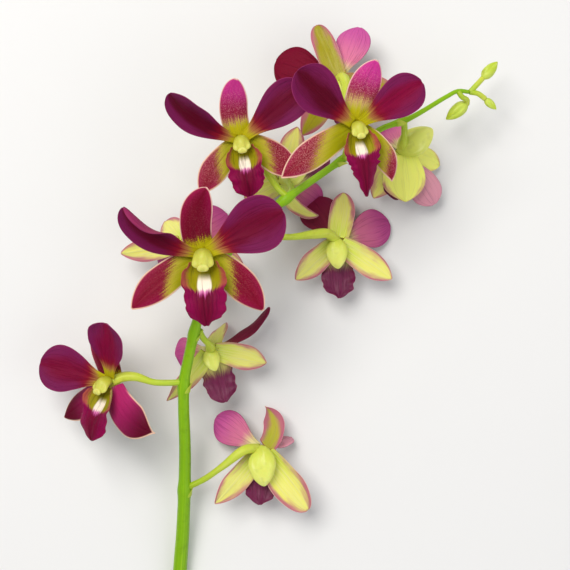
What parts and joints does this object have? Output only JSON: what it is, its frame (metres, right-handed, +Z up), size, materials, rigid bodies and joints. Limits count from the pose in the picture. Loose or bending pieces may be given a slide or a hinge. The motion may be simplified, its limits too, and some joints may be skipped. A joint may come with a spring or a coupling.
{
  "type": "cut dendrobium orchid spray",
  "caption": "Cut spray of dendrobium orchid lying on a surface: arching green stem, stalked two-tone flowers with spreading sepals, petals and lips, and closed tip buds.",
  "frame": {"origin": "centre of the spray's outline seen from above, on the surface that it lies on", "axes": "+Z up from the surface, +Y from the cut end towards the tip, +X to the right as seen from above"},
  "size_m": [0.2045, 0.2856, 0.0849],
  "materials": {
    "stem": "satin",
    "stalk": "satin",
    "sepal": "satin",
    "sepal_back": "satin",
    "petal": "satin",
    "petal_back": "satin",
    "lip": "satin",
    "column": "satin",
    "bud": "satin"
  },
  "bodies": {
    "root": {"stem": "stem", "flower_01_sepals": "sepal_back", "flower_01_petal_left": "petal_back", "flower_01_petal_right": "petal_back", "flower_01_lip": "lip", "flower_02_sepals": "sepal_back", "flower_02_petal_left": "petal_back", "flower_02_petal_right": "petal_back", "flower_02_lip": "lip", "flower_03_sepals": "sepal_back", "flower_03_petal_left": "petal_back", "flower_03_petal_right": "petal_back", "flower_03_lip": "lip", "flower_04_dorsal_sepal": "sepal", "flower_04_lateral_sepal_left": "sepal", "flower_04_lateral_sepal_right": "sepal", "flower_04_petal_left": "petal", "flower_04_petal_right": "petal", "flower_04_lip": "lip", "flower_04_column": "column", "flower_04_stalk": "stalk", "flower_05_sepals": "sepal_back", "flower_05_petal_left": "petal_back", "flower_05_petal_right": "petal_back", "flower_05_lip": "lip", "flower_06_sepals": "sepal_back", "flower_06_petal_left": "petal_back", "flower_06_petal_right": "petal_back", "flower_06_lip": "lip", "flower_07_dorsal_sepal": "sepal", "flower_07_lateral_sepal_left": "sepal", "flower_07_lateral_sepal_right": "sepal", "flower_07_petal_left": "petal", "flower_07_petal_right": "petal", "flower_07_lip": "lip", "flower_07_column": "column", "flower_07_stalk": "stalk", "flower_08_sepals": "sepal_back", "flower_08_petal_left": "petal_back", "flower_08_petal_right": "petal_back", "flower_08_lip": "lip", "flower_09_dorsal_sepal": "sepal", "flower_09_lateral_sepal_left": "sepal", "flower_09_lateral_sepal_right": "sepal", "flower_09_petal_left": "petal", "flower_09_petal_right": "petal", "flower_09_lip": "lip", "flower_09_column": "column", "flower_09_stalk": "stalk", "flower_10_sepals": "sepal_back", "flower_10_petal_left": "petal_back", "flower_10_petal_right": "petal_back", "flower_10_lip": "lip", "flower_11_sepals": "sepal_back", "flower_11_petal_left": "petal_back", "flower_11_petal_right": "petal_back", "flower_11_lip": "lip", "bud_01": "bud", "bud_02": "bud", "bud_03": "bud"}
  },
  "joints": []
}
